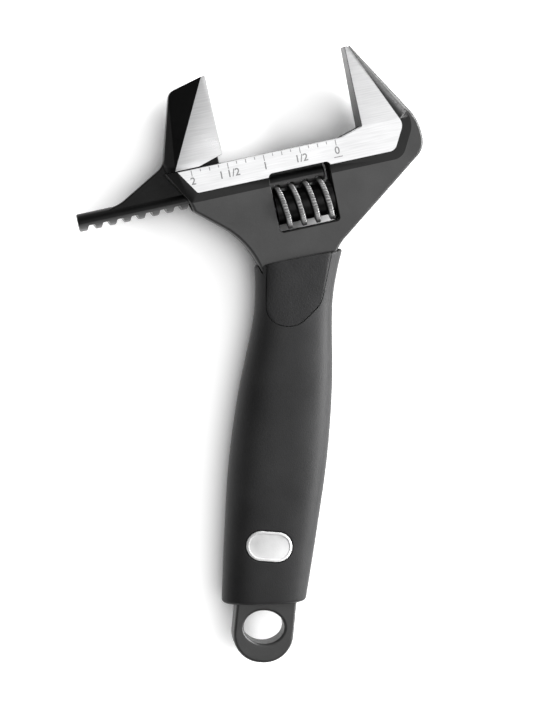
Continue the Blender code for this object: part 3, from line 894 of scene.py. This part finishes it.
def blackened(name, where, bright_tone, black):
    """Blackened steel, lighter where a mask says."""
    material, tree, shader = new_material(name, (black,) * 3, 0.36, 0.8)
    speckle = grain(tree, 1800, detail=3)
    cloud = grain(tree, 90, detail=4)
    colour = blend_colours(tree, spread(tree, cloud, 0, 1), (0.75 * black,) * 3, (1.25 * black,) * 3)
    colour = blend_colours(tree, where(tree), colour, (bright_tone,) * 3)
    tree.links.new(colour, shader.inputs["Base Color"])
    tree.links.new(spread(tree, speckle, 0.32, 0.45), shader.inputs["Roughness"])
    tree.links.new(relief(tree, speckle, 0.00002, 0.6), shader.inputs["Normal"])
    return material


def plain_steel():
    """Bare drawn steel."""
    material, tree, shader = new_material("plain_steel", (0.35, 0.35, 0.36), 0.3, 1.0)
    cloud = grain(tree, 500, (1, 4, 4), detail=4)
    colour = blend_colours(tree, spread(tree, cloud, 0, 1), (0.3, 0.3, 0.31), (0.42, 0.42, 0.43))
    tree.links.new(colour, shader.inputs["Base Color"])
    tree.links.new(spread(tree, cloud, 0.25, 0.38), shader.inputs["Roughness"])
    return material


def moulded(name, colour, roughness, cells, depth):
    """A moulded plastic or rubber with a fine spark-eroded grain."""
    material, tree, shader = new_material(name, colour, roughness)
    shader.inputs["Specular IOR Level"].default_value = 0.22
    cloud = grain(tree, 40, detail=4)
    dots = grain(tree, cells, kind="ShaderNodeTexVoronoi")
    darker = tuple(0.7 * c for c in colour)
    lighter = tuple(1.3 * c for c in colour)
    tree.links.new(blend_colours(tree, spread(tree, cloud, 0, 1), darker, lighter),
                   shader.inputs["Base Color"])
    tree.links.new(spread(tree, cloud, roughness - 0.04, roughness + 0.04), shader.inputs["Roughness"])
    fine = relief(tree, grain(tree, cells * 2, detail=2), depth * 0.5, 0.6)
    tree.links.new(relief(tree, dots, depth, 0.7, fine), shader.inputs["Normal"])
    return material


def etched():
    """The grey of an etched mark."""
    material, tree, shader = new_material("etched_mark", (0.22, 0.22, 0.225), 0.6, 0.6)
    speckle = grain(tree, 3000, detail=2)
    colour = blend_colours(tree, spread(tree, speckle, 0, 1), (0.17, 0.17, 0.172), (0.27, 0.27, 0.273))
    tree.links.new(colour, shader.inputs["Base Color"])
    return material


# ---------------------------------------------------------------- assembly

def finish_piece(obj, place, materials, body, replaced=None, choose=None):
    """Move a finished mesh into the frame, paint it, smooth it and hang it on its body.

    choose says which material a face takes, from its centre and normal.
    """
    obj.data.materials.clear()
    for material in materials:
        obj.data.materials.append(material)
    for face in obj.data.polygons:
        face.material_index = choose(face.center, face.normal) if choose else 0
    obj.data.transform(place)
    obj.data.shade_smooth()
    obj.data.set_sharp_from_angle(angle=math.radians(32))
    weigh = obj.modifiers.new("normals", "WEIGHTED_NORMAL")
    weigh.keep_sharp = True
    weigh.weight = 80
    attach(obj, body)
    if replaced:
        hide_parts(replaced)
    return obj


def build_wrench():
    """Every piece of the wrench, painted, in its place and on its body."""
    black = forged_black("black_phosphate", 0.055)
    # a darker copy of the black phosphate, painted shade for the land's slopes
    slope = forged_black("black_slope_painted_shade", 0.016)
    bright = ground_bright()
    # near-black painted shade for the body's window, window rim, rack channel and bore
    inside = moulded("painted_shade_inside", (0.008, 0.008, 0.008), 0.9, 1500, 0.00002)
    # lighter on the rack's lower side, where its teeth are
    dark = blackened("blackened_jaw", on_teeth, 0.16, 0.007)
    # lighter ridges, partly rubbed wear and partly painted highlight, over a near-black core that is
    # painted shade
    screw = blackened("blackened_worm", ridge_wear_and_highlight, 0.3, 0.012)
    steel = plain_steel()
    # near-black painted shade on the grip's end that faces the head
    shaded = moulded("collar_painted_shade", (0.008, 0.008, 0.008), 0.6, 2300, 0.00003)
    hard = moulded("hard_moulding", (0.015, 0.015, 0.0155), 0.48, 1500, 0.00006)
    soft = moulded("soft_moulding", (0.018, 0.018, 0.0185), 0.5, 2300, 0.00003)
    pale = moulded("pale_moulding", (0.6, 0.6, 0.6), 0.42, 1500, 0.00001)
    finish_piece(make_body(), HEAD, [black, bright, inside, slope], "frame", "body",
                 body_finish)
    finish_piece(make_scale(), HEAD, [etched()], "frame")
    finish_piece(make_jaw(), HEAD, [dark, bright], "jaw", "movable_jaw", jaw_finish)
    finish_piece(make_worm(), HEAD, [screw], "knurl", "worm")
    finish_piece(make_pin(), HEAD, [steel], "frame", "worm_pin")
    finish_piece(make_spring(), HEAD, [steel], "frame", "worm_spring")
    finish_piece(make_grip_core(), HANDLE, [hard, shaded], "frame", "grip_core",
                 collar_shade_faces)
    finish_piece(make_grip_cover(), HANDLE, [soft, shaded], "frame", "grip_cover",
                 collar_shade_faces)
    for name, side in (("badge_front", 1), ("badge_back", -1)):
        finish_piece(make_badge("plain_" + name, side), HANDLE, [pale], "frame", name)


# ---------------------------------------------------------------- studio

def make_floor():
    """A plain pale floor that glows a little wherever nothing stands close over it."""
    bm = bmesh.new()
    bmesh.ops.create_grid(bm, x_segments=1, y_segments=1, size=3.0)
    floor = new_object("floor", bm)
    material, tree, shader = new_material("pale_floor", (0.9, 0.9, 0.9), 0.6)
    shader.inputs["Specular IOR Level"].default_value = 0.2
    shader.inputs["Emission Color"].default_value = (1, 1, 1, 1)
    open_sky = tree.nodes.new("ShaderNodeAmbientOcclusion")
    open_sky.inputs["Distance"].default_value = 0.05
    glow = spread(tree, open_sky.outputs["AO"], 0, 0.8, 0.4, 0.9)
    tree.links.new(glow, shader.inputs["Emission Strength"])
    colour = blend_colours(tree, spread(tree, grain(tree, 6), 0, 1), (0.89,) * 3, (0.91,) * 3)
    tree.links.new(colour, shader.inputs["Base Color"])
    floor.data.materials.append(material)


def soft_light(name, place, target, size, power):
    """A rectangular softbox that faces a target."""
    data = bpy.data.lights.new(name, "AREA")
    data.shape = "RECTANGLE"
    data.size, data.size_y = size
    data.energy = power
    light = bpy.data.objects.new(name, data)
    bpy.context.scene.collection.objects.link(light)
    light.location = place
    light.rotation_euler = (Vector(target) - Vector(place)).to_track_quat("-Z", "Y").to_euler()


def make_camera():
    """The camera over the wrench, a little towards the head and the sliding jaw."""
    distance, aside, up = 0.7, 0.00304, 0.00143
    turn = (Matrix.Rotation(math.radians(5.0), 3, "X") @ Matrix.Rotation(math.radians(7.2), 3, "Y")
            @ Matrix.Rotation(math.radians(12.05), 3, "Z")).transposed()
    pivot = HEAD @ Vector((-45, -70, 0))
    data = bpy.data.cameras.new("camera")
    data.lens = 101.6
    data.sensor_width = 36
    camera = bpy.data.objects.new("camera", data)
    bpy.context.scene.collection.objects.link(camera)
    camera.matrix_world = (Matrix.Translation(pivot + turn @ Vector((-aside, -up, distance)))
                           @ turn.to_4x4())
    bpy.context.scene.camera = camera


def make_world():
    """A surround with pale walls and a dark ceiling for the light, seen as white by the camera."""
    world = bpy.data.worlds.new("studio")
    world.use_nodes = True
    tree = world.node_tree
    shade = tree.nodes["Background"]
    shade.inputs["Color"].default_value = (1, 1, 1, 1)
    split = tree.nodes.new("ShaderNodeSeparateXYZ")
    tree.links.new(tree.nodes.new("ShaderNodeTexCoord").outputs["Generated"], split.inputs[0])
    walls = spread(tree, split.outputs[2], 0.75, 0.13, 0.35, 0.6)
    seen = tree.nodes.new("ShaderNodeMath")
    seen.operation = "MAXIMUM"
    path = tree.nodes.new("ShaderNodeLightPath")
    tree.links.new(path.outputs["Is Camera Ray"], seen.inputs[0])
    tree.links.new(walls, seen.inputs[1])
    tree.links.new(seen.outputs[0], shade.inputs["Strength"])
    bpy.context.scene.world = world


build_wrench()
make_camera()
make_floor()
make_world()
soft_light("side", (0.9, 0.05, 0.35), (0, 0, 0), (1.2, 0.22), 31)
soft_light("top", (0.12, -0.06, 1.0), (0, 0, 0), (0.8, 0.8), 3.2)
bpy.context.scene.view_settings.view_transform = "Standard"
